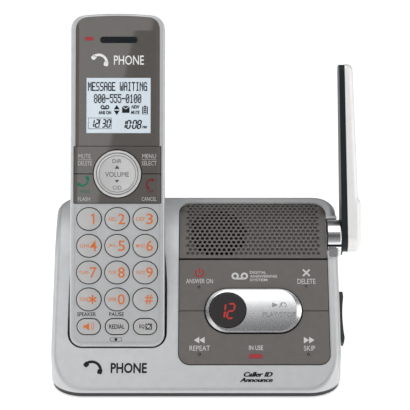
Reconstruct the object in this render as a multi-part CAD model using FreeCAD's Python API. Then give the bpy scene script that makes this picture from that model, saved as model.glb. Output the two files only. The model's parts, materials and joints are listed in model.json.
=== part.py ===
import FreeCAD, Part
import math
import os

# Cordless telephone: a desk base with an answering system, and a handset that leans in its cradle.
# Millimetres. +X is the right-hand side, +Y the back, +Z up. The origin is on the desk, under the
# middle of the base's footprint.

V = FreeCAD.Vector
X_AXIS = V(1, 0, 0)

# ---------------------------------------------------------------- base, driving dimensions
BASE_W = 147.0            # overall width of the base
FRONT_Y = -46.5           # front edge of the footprint
BACK_Y = 46.5             # back edge of the footprint
FOOT_H = 1.0              # feet lift the bottom shell off the desk
SPLIT_Z = 3.3             # joint between bottom and top shell
BEVEL_Z = 4.9             # top of the short upright front wall
FACE_TILT = 47.4          # slope of the control face
FACE_LEN = 71.0           # length of the flat part of the face
CROWN_R = 63.0            # curve from the face over to the top
BACK_LEAN = 7.0           # the back wall leans forward
WALL = 2.2
FRONT_CORNER_R = 17.0
REAR_CORNER_R = 12.0
TOP_EDGE_R = 3.6

# ---------------------------------------------------------------- control panel on the face
PANEL_X0 = -9.1
PANEL_X1 = 67.9
PANEL_S0 = 12.9           # distances measured up the face from its lower edge
PANEL_SPLIT_S = 41.2
PANEL_SEAM_S = 69.0
PANEL_TOP_S = 103.0
PANEL_RADII = (6.0, 5.5, 7.0, 6.0)
PANEL_REACH = 14.5        # the opening is cut this deep below the plane of the face
PANEL_GAP = 0.4           # open line round each key plate
LIP = 0.6                 # narrow step round the panel opening
LIP_DEPTH = 0.45
KEY_PLATE_T = 2.2
KEY_MAT_TOP = -3.0
PCB_TOP = -6.0

PILL_X = (4.75, 53.65)
PILL_H = 23.1
PILL_RISE = 1.9
PILL_CROWN_R = 75.0       # the button's top is arched from front to back
PILL_GAP = 0.7
WINDOW_X = 16.1
WINDOW_R = 9.2
WINDOW_HOLE_R = 9.6
WINDOW_SINK = 0.4         # the flat window lies this far below the top of the arch

# ---------------------------------------------------------------- handset, driving dimensions
HAND_W = 48.0
HAND_L = 170.0
HAND_T = 26.0
HAND_X = -40.0            # handset centre line
HAND_LEAN = 25.0          # leans back from upright
LEDGE_S = 22.1            # the handset's front face meets the control face here
HAND_SIDE = 8.5           # depth of the straight side wall
HAND_BACK_R = 17.5        # rounding from side to back
HAND_TOP_R = 7.5
HAND_CROWN_R = 170.0      # the upper end is slightly arched from side to side
HAND_FOOT_R = 6.5
HAND_END_R = 7.0          # rounding of the back's two ends
HAND_SPLIT = -8.6         # joint between front frame and back shell
HAND_WALL = 1.8
HAND_FACE = 2.4
CRADLE_GAP = 1.2
CRADLE_WALL = 1.8
CRADLE_FLOOR = -0.5

KEY_COLS = (-14.25, 0.0, 14.25)
KEY_ROWS = (64.8, 51.2, 37.7, 24.1)
KEY_SIZE = (12.1, 11.1)
FUNC_U = 10.4
FUNC_SIZE = (11.4, 7.6)
KEY_GAP = 0.5
KEY_RISE = 0.9
KEY_DOME_R = 60.0
KEY_FLANGE = (-3.9, -2.9)
KEY_FLANGE_REACH = 0.8    # the flange that holds a key in stands out this far all round
HAND_MAT = (-6.9, -4.9)
HAND_PCB = (-8.2, -7.0)
NAV_U = 87.7
NAV_R = 12.0
NAV_DISH_R = 10.1
SOFT_X = 22.0
SOFT_U = (72.9, 101.6)
LENS_X = 21.3
LENS_U = (102.0, 168.6)
LENS_CORNER_R = 6.1
LENS_TOP = 0.8
LENS_BEVEL = 1.7
LENS_CREASE = (7.6, 0.35)  # length and drop of the lens's sloping upper end
LENS_SEAT = -1.5          # floor of the recess that the lens sits in
SEAT_GAP = 0.15           # open line round the lens
GROOVE = (2.4, 0.3, 0.25)  # line round the keypad: distance in from the edge, width, depth

# ---------------------------------------------------------------- antenna
ANT_Y = 14.0
ANT_Z = 61.5
ANT_LEAN = 22.0
KNUCKLE_X = (68.2, 75.2)
KNUCKLE_R = 9.8
KNUCKLE_CORE_R = 8.9
KNUCKLE_SEAM = 1.4
PIN_R = 2.5
PIN_CLEARANCE = 0.05
ANT_TOP = 90.8
ANT_HALF_FOOT = 8.4
ANT_HALF_TOP = 6.0


def turned(x, y, z, tilt):
    """A frame at a point, turned about X so that its Y axis climbs at the tilt."""
    return FreeCAD.Placement(V(x, y, z), FreeCAD.Rotation(X_AXIS, tilt))


FACE = turned(0, FRONT_Y, BEVEL_Z, FACE_TILT)
LEDGE = FACE.multVec(V(HAND_X, LEDGE_S, 0))
HAND = turned(HAND_X, LEDGE.y, LEDGE.z, 90 - HAND_LEAN)
ANT = turned(0, ANT_Y, ANT_Z, 90 - ANT_LEAN)


def put(shape, frame):
    """A copy of a shape drawn in a frame's own axes, moved to its place."""
    moved = shape.copy()
    moved.Placement = frame.multiply(moved.Placement)
    return moved


def join(shapes):
    return shapes[0].multiFuse(shapes[1:]).removeSplitter()


def closed_wire(points):
    return Part.makePolygon(points + [points[0]])


def outline(x0, x1, y0, y1, radii):
    """Rectangle in XY; radii are the front-left, front-right, back-right and back-left corners."""
    centres = ((x0, y0, 1, 1, 180), (x1, y0, -1, 1, 270), (x1, y1, -1, -1, 0), (x0, y1, 1, -1, 90))
    runs = []
    for (x, y, sx, sy, start), r in zip(centres, radii):
        cx, cy = x + sx * r, y + sy * r
        angles = [math.radians(start + a) for a in (0, 45, 90)]
        runs.append([V(cx + r * math.cos(a), cy + r * math.sin(a), 0) for a in angles])
    edges = []
    for i, run in enumerate(runs):
        if radii[i] > 0:
            edges.append(Part.Arc(*run).toShape())
        following = runs[(i + 1) % 4][0]
        if run[2].distanceToPoint(following) > 1e-6:
            edges.append(Part.LineSegment(run[2], following).toShape())
    return Part.Wire(edges)


def crowned_outline(half, low, high, foot_r, top_r, crown_r):
    """Rectangle in XY whose upper edge is a shallow arc that runs smoothly into its corners."""
    cx = half - top_r
    cy = high - crown_r + math.sqrt((crown_r - top_r) ** 2 - cx ** 2)
    lean = math.asin(cx / (crown_r - top_r))
    square = math.pi / 2

    def turn(x, y, r, angles):
        return [V(x + r * math.cos(a), y + r * math.sin(a), 0) for a in angles]

    foot = turn(half - foot_r, low + foot_r, foot_r, (-square, -square / 2, 0))
    top = turn(cx, cy, top_r, (0, (square - lean) / 2, square - lean))
    left_top = [V(-p.x, p.y, 0) for p in reversed(top)]
    left_foot = [V(-p.x, p.y, 0) for p in reversed(foot)]
    return Part.Wire([
        Part.LineSegment(left_foot[2], foot[0]).toShape(),
        Part.Arc(*foot).toShape(),
        Part.LineSegment(foot[2], top[0]).toShape(),
        Part.Arc(*top).toShape(),
        Part.Arc(top[2], V(0, high, 0), left_top[0]).toShape(),
        Part.Arc(*left_top).toShape(),
        Part.LineSegment(left_top[2], left_foot[0]).toShape(),
        Part.Arc(*left_foot).toShape(),
    ])


def slab(wire, z0, z1):
    """A flat outline in XY made solid between two heights."""
    face = Part.Face(wire)
    face.translate(V(0, 0, z0))
    return face.extrude(V(0, 0, z1 - z0))


def plate(x0, x1, y0, y1, z0, z1, radius=0.0):
    radii = radius if isinstance(radius, tuple) else (radius,) * 4
    return slab(outline(x0, x1, y0, y1, radii), z0, z1)


def stadium(cx, cy, width, height, z0, z1):
    r = height / 2 - 0.001
    return plate(cx - width / 2, cx + width / 2, cy - height / 2, cy + height / 2, z0, z1, r)


def disc(cx, cy, r, z0, z1):
    return Part.makeCylinder(r, z1 - z0, V(cx, cy, z0), V(0, 0, 1))


def oval(cx, cy, width, height, z0, z1):
    ring = Part.Ellipse(V(cx, cy, 0), width / 2, height / 2).toShape()
    return slab(Part.Wire([ring]), z0, z1)


def side_slab(points, x0, x1):
    """A polygon of (y, z) points made solid between two x positions."""
    face = Part.Face(closed_wire([V(x0, y, z) for y, z in points]))
    return face.extrude(V(x1 - x0, 0, 0))


def rounded(shape, radius, wanted):
    edges = [e for e in shape.Edges if wanted(e)]
    return shape.makeFillet(radius, edges)


# ---------------------------------------------------------------- base shells

def base_profile(inset, floor_z):
    """Side outline of the base in the YZ plane, drawn inwards by the inset."""
    tilt = math.radians(FACE_TILT)
    lean = math.tan(math.radians(BACK_LEAN))
    r = CROWN_R - inset

    def p(y, z):
        return V(0, y, z)

    def on_face(s):
        return p(FRONT_Y + s * math.cos(tilt) + inset * math.sin(tilt),
                 BEVEL_Z + s * math.sin(tilt) - inset * math.cos(tilt))

    face_start = on_face((FRONT_Y + inset - on_face(0).y) / math.cos(tilt))
    face_end = on_face(FACE_LEN)
    centre = p(face_end.y + r * math.sin(tilt), face_end.z - r * math.cos(tilt))

    # the crown's arc ends where it meets the leaning back wall
    back_at_0 = BACK_Y + lean * SPLIT_Z - inset * math.hypot(1, lean)
    gap = back_at_0 - centre.y
    half_b = lean * gap + centre.z
    a = 1 + lean ** 2
    top_z = (half_b + math.sqrt(half_b ** 2 - a * (gap ** 2 + centre.z ** 2 - r ** 2))) / a
    top = p(back_at_0 - lean * top_z, top_z)
    middle_angle = (tilt + math.asin((centre.y - top.y) / r)) / 2
    middle = p(centre.y - r * math.sin(middle_angle), centre.z + r * math.cos(middle_angle))
    front_foot = p(FRONT_Y + inset, floor_z)
    back_foot = p(back_at_0 - lean * floor_z, floor_z)
    return Part.Wire([
        Part.LineSegment(front_foot, face_start).toShape(),
        Part.LineSegment(face_start, face_end).toShape(),
        Part.Arc(face_end, middle, top).toShape(),
        Part.LineSegment(top, back_foot).toShape(),
        Part.LineSegment(back_foot, front_foot).toShape(),
    ])


def base_block(inset, floor_z, soften=0.0):
    """The base as a solid block, drawn inwards by the inset, with its corners rounded."""
    half = BASE_W / 2 - inset
    profile = Part.Face(base_profile(inset, floor_z))
    profile.translate(V(-half, 0, 0))
    block = profile.extrude(V(2 * half, 0, 0))
    r = FRONT_CORNER_R - inset
    block = block.common(plate(-half, half, FRONT_Y + inset, BACK_Y + 5, floor_z - 1, 90, (r, r, 0, 0)))

    def rear_upright(e):
        box = e.BoundBox
        return box.XLength < 0.01 and abs(abs(box.XMin) - half) < 0.01 and box.YMin > 20 and box.ZLength > 50

    block = rounded(block, REAR_CORNER_R - inset, rear_upright)
    if soften:
        def top_rim(e):
            box = e.BoundBox
            on_side = abs(abs(box.XMin) - half) < 0.01 and box.XLength < 0.01
            along_face = on_side and box.ZMin > floor_z + 0.1 and box.YLength > 0.5 * box.ZLength
            front_bevel = abs(box.ZMin - BEVEL_Z) < 0.2 and box.ZLength < 0.01 and box.XLength > 10
            front_corner = box.XLength > 5 and box.ZMin > floor_z + 0.1 and box.YMin < FRONT_Y + 1
            rear_top = box.ZMin > 60 and box.YMin > 24 and box.XLength > 3
            return along_face or front_bevel or front_corner or rear_top
        block = rounded(block, soften, top_rim)
    return block


def skin(depth0, depth1):
    """The layer of the base between two depths below its outer surface."""
    return base_block(depth0, SPLIT_Z).cut(base_block(depth1, SPLIT_Z - 1))


def panel_prism(grow, top_s=PANEL_TOP_S, bottom_s=PANEL_S0):
    radii = tuple(r + grow for r in PANEL_RADII)
    prism = plate(PANEL_X0 - grow, PANEL_X1 + grow, bottom_s - grow, top_s + grow, -PANEL_REACH, 12, radii)
    return put(prism, FACE)


# ---------------------------------------------------------------- handset block

def hand_section(grow):
    """Cross-section of the handset, front at the top, drawn outwards by the clearance."""
    half = HAND_W / 2 + grow
    r = HAND_BACK_R + grow
    flat = half - r
    back = -HAND_SIDE - r
    diag = r * math.sqrt(0.5)

    def p(x, w):
        return V(x, 0, w)

    return Part.Wire([
        Part.LineSegment(p(-half, grow), p(half, grow)).toShape(),
        Part.LineSegment(p(half, grow), p(half, -HAND_SIDE)).toShape(),
        Part.Arc(p(half, -HAND_SIDE), p(flat + diag, -HAND_SIDE - diag), p(flat, back)).toShape(),
        Part.LineSegment(p(flat, back), p(-flat, back)).toShape(),
        Part.Arc(p(-flat, back), p(-flat - diag, -HAND_SIDE - diag), p(-half, -HAND_SIDE)).toShape(),
        Part.LineSegment(p(-half, -HAND_SIDE), p(-half, grow)).toShape(),
    ])


def hand_block(grow, low, high):
    """The handset's outer form, grown by a clearance, from one height to another along it."""
    section = Part.Face(hand_section(grow))
    section.translate(V(0, low, 0))
    body = section.extrude(V(0, high - low, 0))
    half = HAND_W / 2 + grow
    front = slab(crowned_outline(half, low, high, HAND_FOOT_R + grow, HAND_TOP_R + grow, HAND_CROWN_R + grow),
                 -HAND_T - 10, grow + 1)
    side = outline(-HAND_T - grow, 10, low, high, (HAND_END_R, 0, 0, HAND_END_R))
    across = Part.Face(side).extrude(V(0, 0, 2 * half + 2))
    # the side outline is drawn flat, then stood up across the handset's width
    stand = FreeCAD.Placement(V(half + 1, 0, 0), FreeCAD.Rotation(V(0, 1, 0), -90))
    return body.common(front).common(put(across, stand))


def cradle_pocket(grow, low):
    """The space that the handset drops into, open upwards past the base."""
    half = HAND_W / 2 + grow
    section = Part.Face(hand_section(grow))
    section.translate(V(0, low, 0))
    body = section.extrude(V(0, 120, 0))
    foot = HAND_FOOT_R + grow
    front = plate(-half, half, low, low + 130, -HAND_T - 10, 20, (foot, foot, 0, 0))
    return put(body.common(front), HAND)


# ---------------------------------------------------------------- base parts

SCREW_SPOTS = ((-57.0, -40.6), (57.0, -40.6), (-42.0, 37.5), (42.0, 37.5))
BOSS_R = 3.0
SCREW_R = 1.3
FOOT_SPOTS = ((-60.0, -32.0), (60.0, -32.0), (-60.0, 34.0), (60.0, 34.0))
FOOT_R = 6.0
CONTACT_X = (-9.0, 9.0)
CONTACT_W = -13.0
ROCKER_S = 39.4
ROCKER_H = -8.0
ROCKER_LEN = 27.0
ROCKER_W = 7.0
ROCKER_RISE = 2.2         # its two raised ends stand out this far
LINE_JACK = (22.0, 13.5)
LINE_JACK_SIZE = (15.0, 17.0, 12.5)
POWER_JACK = (58.0, 13.0)
POWER_JACK_R = 5.0
JACK_FACE_Y = 44.6


def hinge_boss():
    """Closed half-cup under the knuckle, with a wall for the hinge pin."""
    outer = Part.makeCylinder(KNUCKLE_R + 2.2, 9.6, V(PANEL_X1 - 2.2, ANT_Y, ANT_Z), X_AXIS)
    return outer.common(base_block(0, SPLIT_Z)).cut(panel_prism(0).common(skin(-0.5, 2.25)))


def make_top_shell():
    outer = base_block(0, SPLIT_Z, TOP_EDGE_R)
    shell = outer.cut(base_block(WALL, SPLIT_Z - 1))
    cradle = cradle_pocket(CRADLE_GAP + CRADLE_WALL, CRADLE_FLOOR - CRADLE_WALL).common(outer)
    bosses = []
    for x, y in SCREW_SPOTS:
        bosses.append(Part.makeCylinder(BOSS_R, 80, V(x, y, SPLIT_Z)).common(outer))
    shell = shell.multiFuse([cradle, hinge_boss()] + bosses)
    shell = shell.cut(cradle_pocket(CRADLE_GAP, CRADLE_FLOOR))
    shell = shell.cut(panel_prism(0).common(skin(-0.5, WALL + 0.05)))
    shell = shell.cut(panel_prism(LIP).common(skin(-0.5, LIP_DEPTH)))
    notch = Part.makeCylinder(KNUCKLE_R + 0.6, 20, V(PANEL_X1, ANT_Y, ANT_Z), X_AXIS)
    pin_hole = Part.makeCylinder(PIN_R, 20, V(PANEL_X1 - 6, ANT_Y, ANT_Z), X_AXIS)
    cuts = [notch, pin_hole]
    for x, y in SCREW_SPOTS:
        cuts.append(Part.makeCylinder(SCREW_R, 6.0, V(x, y, SPLIT_Z)))
    for x in CONTACT_X:
        cuts.append(put(plate(x - 1.7, x + 1.7, -10, 3, CONTACT_W - 3, CONTACT_W + 3), HAND))
    half = ROCKER_LEN / 2 + 0.6
    side = ROCKER_W / 2 + 0.5
    cuts.append(put(plate(BASE_W / 2 - 4, BASE_W / 2 + 4, ROCKER_S - half, ROCKER_S + half,
                          ROCKER_H - side, ROCKER_H + side), FACE))
    w, d, h = LINE_JACK_SIZE
    x, z = LINE_JACK
    cuts.append(Part.makeBox(w + 0.4, 14, h + 0.4, V(x - w / 2 - 0.2, 38, z - h / 2 - 0.2)))
    x, z = POWER_JACK
    cuts.append(Part.makeCylinder(POWER_JACK_R + 0.2, 14, V(x, 38, z), V(0, 1, 0)))
    cuts.append(make_knuckle_tab())
    return shell.cut(Part.makeCompound(cuts)).removeSplitter()


def make_bottom_shell():
    """Floor tray with a rim that locates inside the top shell, recesses for feet and screw heads."""
    def tray(inset, z0, z1):
        half = BASE_W / 2 - inset
        f, b = FRONT_CORNER_R - inset, REAR_CORNER_R - inset
        return plate(-half, half, FRONT_Y + inset, BACK_Y - inset, z0, z1, (f, f, b, b))

    rim = tray(WALL + 1.0, SPLIT_Z, SPLIT_Z + 1.5).cut(tray(WALL + 2.4, SPLIT_Z - 1, SPLIT_Z + 2))
    floor = tray(0.6, FOOT_H, SPLIT_Z)
    cuts = []
    for x, y in FOOT_SPOTS:
        cuts.append(disc(x, y, FOOT_R, 0, FOOT_H + 0.6))
    for x, y in SCREW_SPOTS:
        cuts.append(disc(x, y, SCREW_R + 0.3, 0, SPLIT_Z + 3))
        cuts.append(disc(x, y, 2.9, 0, FOOT_H + 1.2))
        cuts.append(disc(x, y, BOSS_R + 0.3, SPLIT_Z, SPLIT_Z + 3))
    return floor.fuse(rim).cut(Part.makeCompound(cuts)).removeSplitter()


def make_feet():
    pads = []
    for x, y in FOOT_SPOTS:
        pad = disc(x, y, FOOT_R, 0, FOOT_H + 0.6)
        pads.append(rounded(pad, 0.4, lambda e: e.BoundBox.ZMax < 0.01))
    return Part.makeCompound(pads)


def make_base_screws():
    screws = []
    for x, y in SCREW_SPOTS:
        head = disc(x, y, 2.6, FOOT_H + 0.1, FOOT_H + 1.2)
        shank = disc(x, y, SCREW_R, FOOT_H + 1.2, SPLIT_Z + 5.5)
        slot = disc(x, y, 1.1, 0, FOOT_H + 0.6)
        screws.append(head.fuse(shank).cut(slot).removeSplitter())
    return Part.makeCompound(screws)


def make_grille():
    """Curved loudspeaker cover that follows the crown behind the key plates."""
    band = skin(0.35, 2.0)
    prism = plate(PANEL_X0 + PANEL_GAP, PANEL_X1 - PANEL_GAP, PANEL_SEAM_S + 0.6, PANEL_TOP_S - PANEL_GAP,
                  -PANEL_REACH, 12, (0, 0, PANEL_RADII[2], PANEL_RADII[3]))
    return band.common(put(prism, FACE)).removeSplitter()


SPEAKER_X = 11.3
SPEAKER_TILT = 29.0
SPEAKER_DEPTH = 5.3
SPEAKER_R = 16.4


def speaker_frame():
    """Frame on the crown where the surface has the loudspeaker's tilt."""
    tilt, a = math.radians(FACE_TILT), math.radians(SPEAKER_TILT)
    face_end = FACE.multVec(V(0, FACE_LEN, 0))
    y = face_end.y + CROWN_R * (math.sin(tilt) - math.sin(a))
    z = face_end.z + CROWN_R * (math.cos(a) - math.cos(tilt))
    return turned(SPEAKER_X, y, z, SPEAKER_TILT)


def make_loudspeaker():
    rim = disc(0, 0, SPEAKER_R, -SPEAKER_DEPTH - 1.6, -SPEAKER_DEPTH)
    bowl = Part.makeCone(8.5, SPEAKER_R - 1.5, 7.0, V(0, 0, -SPEAKER_DEPTH - 8.6))
    magnet = disc(0, 0, 11.0, -SPEAKER_DEPTH - 13.6, -SPEAKER_DEPTH - 8.6)
    cone = Part.makeCone(4.0, 14.0, 5.0, V(0, 0, -SPEAKER_DEPTH - 5.0))
    body = join([rim, bowl, magnet]).cut(cone)
    cap = Part.makeSphere(5.0, V(0, 0, -SPEAKER_DEPTH - 8.0))
    cap = cap.common(disc(0, 0, 6.0, -SPEAKER_DEPTH - 6.0, -SPEAKER_DEPTH - 1.0))
    return put(join([body, cap]), speaker_frame())


def pill_prism(grow, z0, z1):
    x0, x1 = PILL_X
    return stadium((x0 + x1) / 2, PANEL_SPLIT_S, x1 - x0 + 2 * grow, PILL_H + 2 * grow, z0, z1)


def key_plate(s0, s1, radii):
    blank = plate(PANEL_X0 + PANEL_GAP, PANEL_X1 - PANEL_GAP, s0, s1, -KEY_PLATE_T, 0, radii)
    return blank.cut(pill_prism(PILL_GAP, -10, 10))


def make_upper_key_plate():
    return put(key_plate(PANEL_SPLIT_S + 0.2, PANEL_SEAM_S - 0.5, (0.4, 0.4, 0.4, 0.4)), FACE)


IN_USE = (30.1, 17.4, 7.1, 2.3)


def make_lower_key_plate():
    bl, br = PANEL_RADII[0] - PANEL_GAP, PANEL_RADII[1] - PANEL_GAP
    blank = key_plate(PANEL_S0 + PANEL_GAP, PANEL_SPLIT_S - 0.2, (bl, br, 0.4, 0.4))
    return put(blank.cut(stadium(*IN_USE, -5, 5)), FACE)


def make_in_use_lens():
    return put(stadium(*IN_USE, -KEY_PLATE_T, 0.15), FACE)


def make_play_button():
    """Raised pill with a sloping flank all round and a round hole for the display window."""
    body = pill_prism(0, -2.1, PILL_RISE)
    body = body.makeChamfer(1.1, 2.4, [e for e in body.Edges if e.BoundBox.ZMin > PILL_RISE - 0.01])
    arch = Part.makeCylinder(PILL_CROWN_R, PANEL_X1, V(0, PANEL_SPLIT_S, PILL_RISE - PILL_CROWN_R), X_AXIS)
    body = body.common(arch)
    body = body.cut(disc(WINDOW_X, PANEL_SPLIT_S, WINDOW_HOLE_R, -5, 5))
    return put(body, FACE)


def make_message_window():
    top = PILL_RISE - WINDOW_SINK
    lens = disc(WINDOW_X, PANEL_SPLIT_S, WINDOW_R, -2.4, top)
    return put(rounded(lens, 0.3, lambda e: e.BoundBox.ZMin > top - 0.01), FACE)


def make_message_display():
    case = plate(WINDOW_X - 7.5, WINDOW_X + 7.5, PANEL_SPLIT_S - 5.5, PANEL_SPLIT_S + 5.5, PCB_TOP, -2.5, 0.6)
    return put(case, FACE)


def make_base_key_mat():
    """Rubber sheet with a raised pad under every press point of the panel."""
    sheet = plate(PANEL_X0 + 3, PANEL_X1 - 3, PANEL_S0 + 4, PANEL_SEAM_S - 4, PCB_TOP, -4.6, 2.0)
    pads = []
    for x in (PANEL_X0 + 11, PANEL_X1 - 11):
        for s in (PANEL_S0 + 10, PANEL_SEAM_S - 10):
            pads.append(disc(x, s, 3.0, -5.0, KEY_MAT_TOP))
    pads.append(disc(40.0, PANEL_SPLIT_S, 4.0, -5.0, KEY_MAT_TOP))
    mat = join([sheet] + pads)
    hole = plate(WINDOW_X - 8.5, WINDOW_X + 8.5, PANEL_SPLIT_S - 6.5, PANEL_SPLIT_S + 6.5, -9, 0)
    return put(mat.cut(hole), FACE)


def make_base_pcb():
    board = plate(PANEL_X0 + 1, PANEL_X1 - 1, PANEL_S0 + 2, PANEL_SEAM_S - 2, PCB_TOP - 1.6, PCB_TOP, 1.0)
    return put(board, FACE)


def make_volume_rocker():
    """Side key, dished in the middle, with a stem behind it."""
    half = ROCKER_LEN / 2
    wall = BASE_W / 2
    crest = wall + ROCKER_RISE
    end = half - 2.5
    points = [V(wall - 3.4, -half, 0), V(crest - 0.4, -half, 0), V(crest, -end, 0)]
    dish = Part.Arc(points[-1], V(crest - 0.8, 0, 0), V(crest, end, 0)).toShape()
    tail = [V(crest, end, 0), V(crest - 0.4, half, 0), V(wall - 3.4, half, 0), points[0]]
    edges = [Part.LineSegment(a, b).toShape() for a, b in zip(points, points[1:])]
    edges += [dish] + [Part.LineSegment(a, b).toShape() for a, b in zip(tail, tail[1:])]
    body = slab(Part.Wire(edges), -ROCKER_W / 2, ROCKER_W / 2)
    flange = plate(wall - 4.4, wall - 3.2, -half - 1.2, half + 1.2, -ROCKER_W / 2 - 1, ROCKER_W / 2 + 1)
    body = join([body, flange])
    body.translate(V(0, ROCKER_S, ROCKER_H))
    return put(body, FACE)


def make_line_jack():
    """Six-position modular socket with its latch groove, facing the back."""
    w, d, h = LINE_JACK_SIZE
    x, z = LINE_JACK
    case = Part.makeBox(w, d, h, V(x - w / 2, JACK_FACE_Y - d, z - h / 2))
    mouth = Part.makeBox(9.9, 13.0, 6.8, V(x - 4.95, JACK_FACE_Y - 12.5, z - 3.0))
    groove = Part.makeBox(6.2, 13.0, 2.0, V(x - 3.1, JACK_FACE_Y - 12.5, z - 5.0))
    return case.cut(mouth).cut(groove).removeSplitter()


def make_power_jack():
    x, z = POWER_JACK
    back = V(0, 1, 0)
    barrel = Part.makeCylinder(POWER_JACK_R, 13.0, V(x, JACK_FACE_Y - 13.0, z), back)
    bore = Part.makeCylinder(2.85, 10.0, V(x, JACK_FACE_Y - 9.5, z), back)
    pin = Part.makeCylinder(0.85, 9.0, V(x, JACK_FACE_Y - 10.5, z), back)
    return barrel.cut(bore).fuse(pin).removeSplitter()


def make_charge_contact(x):
    """Sprung metal shoe that stands up through the cradle floor."""
    shoe = plate(x - 1.3, x + 1.3, -4.6, -0.06, CONTACT_W - 2.5, CONTACT_W + 2.5)
    shoe = rounded(shoe, 0.6, lambda e: e.BoundBox.YMin > -0.1 and e.BoundBox.ZLength < 0.01)
    flange = plate(x - 2.6, x + 2.6, -4.6, -3.6, CONTACT_W - 3.2, CONTACT_W + 3.2)
    return put(join([shoe, flange]), HAND)


def make_hinge_pin():
    start = PANEL_X1 - 5.0
    return Part.makeCylinder(PIN_R, KNUCKLE_X[1] - 1.0 - start, V(start, ANT_Y, ANT_Z), X_AXIS)


def make_knuckle_tab():
    """Small rounded stop that stands in front of the knuckle's lower half."""
    reach = KNUCKLE_R + 0.45
    tab = plate(68.4, 72.9, -9.4, -4.9, reach - 4.6, reach + 1.2, 1.2)
    clear = Part.makeCylinder(reach, 20, V(60, 0, 0), X_AXIS)
    tab = tab.cut(clear)
    return put(tab, ANT)


# ---------------------------------------------------------------- antenna parts

def blade_outline(trim):
    """Blade seen from the side, in the antenna's own length and depth axes, at x = 0."""
    foot_r = 8.0 - trim
    top = ANT_TOP - trim
    foot, tip = ANT_HALF_FOOT - trim, ANT_HALF_TOP - trim
    low = 0.6

    def p(length, depth):
        return V(0, length, depth)

    return Part.Wire([
        Part.Arc(p(low, -foot), p(low - foot_r, 0), p(low, foot)).toShape(),
        Part.LineSegment(p(low, foot), p(top - 3.5, tip)).toShape(),
        Part.Arc(p(top - 3.5, tip), p(top - 1.0, tip - 1.0), p(top, tip - 3.5)).toShape(),
        Part.LineSegment(p(top, tip - 3.5), p(top, -tip + 3.5)).toShape(),
        Part.Arc(p(top, -tip + 3.5), p(top - 1.0, -tip + 1.0), p(top - 3.5, -tip)).toShape(),
        Part.LineSegment(p(top - 3.5, -tip), p(low, -foot)).toShape(),
    ])


def blade_solid(trim, x_length_points):
    """Blade cut to an (x, length) outline as seen from the front."""
    side = Part.Face(blade_outline(trim))
    side.translate(V(60, 0, 0))
    side = side.extrude(V(40, 0, 0))
    front = Part.Face(closed_wire([V(x, length, -12) for x, length in x_length_points]))
    return side.common(front.extrude(V(0, 0, 24)))


def make_antenna_inner():
    blade = blade_solid(0.3, ((75.3, -8), (78.8, -8), (77.0, 92), (74.1, 92), (75.3, 12)))
    hub = Part.makeCylinder(KNUCKLE_CORE_R, 76.0 - KNUCKLE_X[0], V(KNUCKLE_X[0], 0, 0), X_AXIS)
    bore = Part.makeCylinder(PIN_R + PIN_CLEARANCE, 6.6, V(KNUCKLE_X[0] - 0.1, 0, 0), X_AXIS)
    return put(blade.fuse(hub).cut(bore).removeSplitter(), ANT)


ANT_OUTER = ((78.8, -8), (85.6, -8), (85.6, 19.0), (84.3, 21.0), (83.1, 50.0), (81.4, 92), (77.0, 92))
ANT_POCKET = ((78.7, 3), (82.2, 3), (80.0, 86), (76.9, 86))


def make_antenna_outer():
    def outer_rim(e):
        box = e.BoundBox
        return box.XMin > 85.5 or box.XMin > 81.0 and box.ZLength < 12.5

    shell = blade_solid(0, ANT_OUTER)
    shell = rounded(shell, 3.2, outer_rim)
    shell = shell.cut(blade_solid(2.4, ANT_POCKET))
    return put(shell, ANT)


def make_antenna_element():
    strip = plate(78.75, 79.4, 6, 82, -1.5, 1.5)
    return put(strip, ANT)


def knuckle_half(side):
    x0, x1 = KNUCKLE_X
    ring = Part.makeCylinder(KNUCKLE_R, x1 - x0, V(x0, 0, 0), X_AXIS)
    ring = ring.makeFillet(0.8, [e for e in ring.Edges if e.BoundBox.XMin > x1 - 0.01])
    ring = ring.cut(Part.makeCylinder(KNUCKLE_CORE_R, 20, V(x0 - 5, 0, 0), X_AXIS))
    reach = KNUCKLE_R + 1
    low = KNUCKLE_SEAM / 2 if side > 0 else -reach
    keep = Part.makeBox(20, 2 * reach, reach - KNUCKLE_SEAM / 2, V(x0 - 5, -reach, low))
    half = ring.common(keep)
    half.translate(V(0, ANT_Y, ANT_Z))
    return half


# ---------------------------------------------------------------- handset parts

HAND_SCREWS = ((-19.8, 80.0), (19.8, 80.0), (-19.8, 152.0), (19.8, 152.0))
HAND_SCREW_SEAT = -15.0
BATTERY_U = (17.0, 62.0)
CELL_R = 5.1
CELL_PITCH = 10.35
CELL_W = -17.5
COVER_U = (12.0, 74.0)
COVER_T = 1.6
COVER_SLIDE = 6.5
LCD = (-16.2, 17.2, 107.5, 138.5)
LCD_WINDOW = (-15.9, 16.9, 108.4, 136.8)
LCD_DEPTH = 0.1           # the display's glass sits this far below the lens
EAR_SLOT = (0.6, 156.2, 19.3, 3.4)
MESSAGE_LED = (-14.6, 156.8, 4.6, 1.9)
MIC_SLOT = (-0.5, 3.9, 6.3, 2.0)
MIC_RECESS = 0.4
MIC_HOLE_R = 0.5
MIC_R = 1.9
SPEAKER_U = 122.0


def hand_cavity():
    return hand_block(-HAND_WALL, HAND_WALL, HAND_L - HAND_WALL)


def key_holes():
    cuts = []
    w, h = KEY_SIZE
    for x in KEY_COLS:
        for u in KEY_ROWS:
            cuts.append(oval(x, u, w + 2 * KEY_GAP, h + 2 * KEY_GAP, -5, 3))
    w, h = FUNC_SIZE
    for x in KEY_COLS:
        cuts.append(stadium(x, FUNC_U, w + 2 * KEY_GAP, h + 2 * KEY_GAP, -5, 3))
    return cuts


def lens_outline(grow):
    low, high = LENS_U
    crown_r = HAND_CROWN_R - (HAND_L - high) + grow
    return crowned_outline(LENS_X + grow, low - grow, high + grow, 0.5, LENS_CORNER_R + grow, crown_r)


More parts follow.
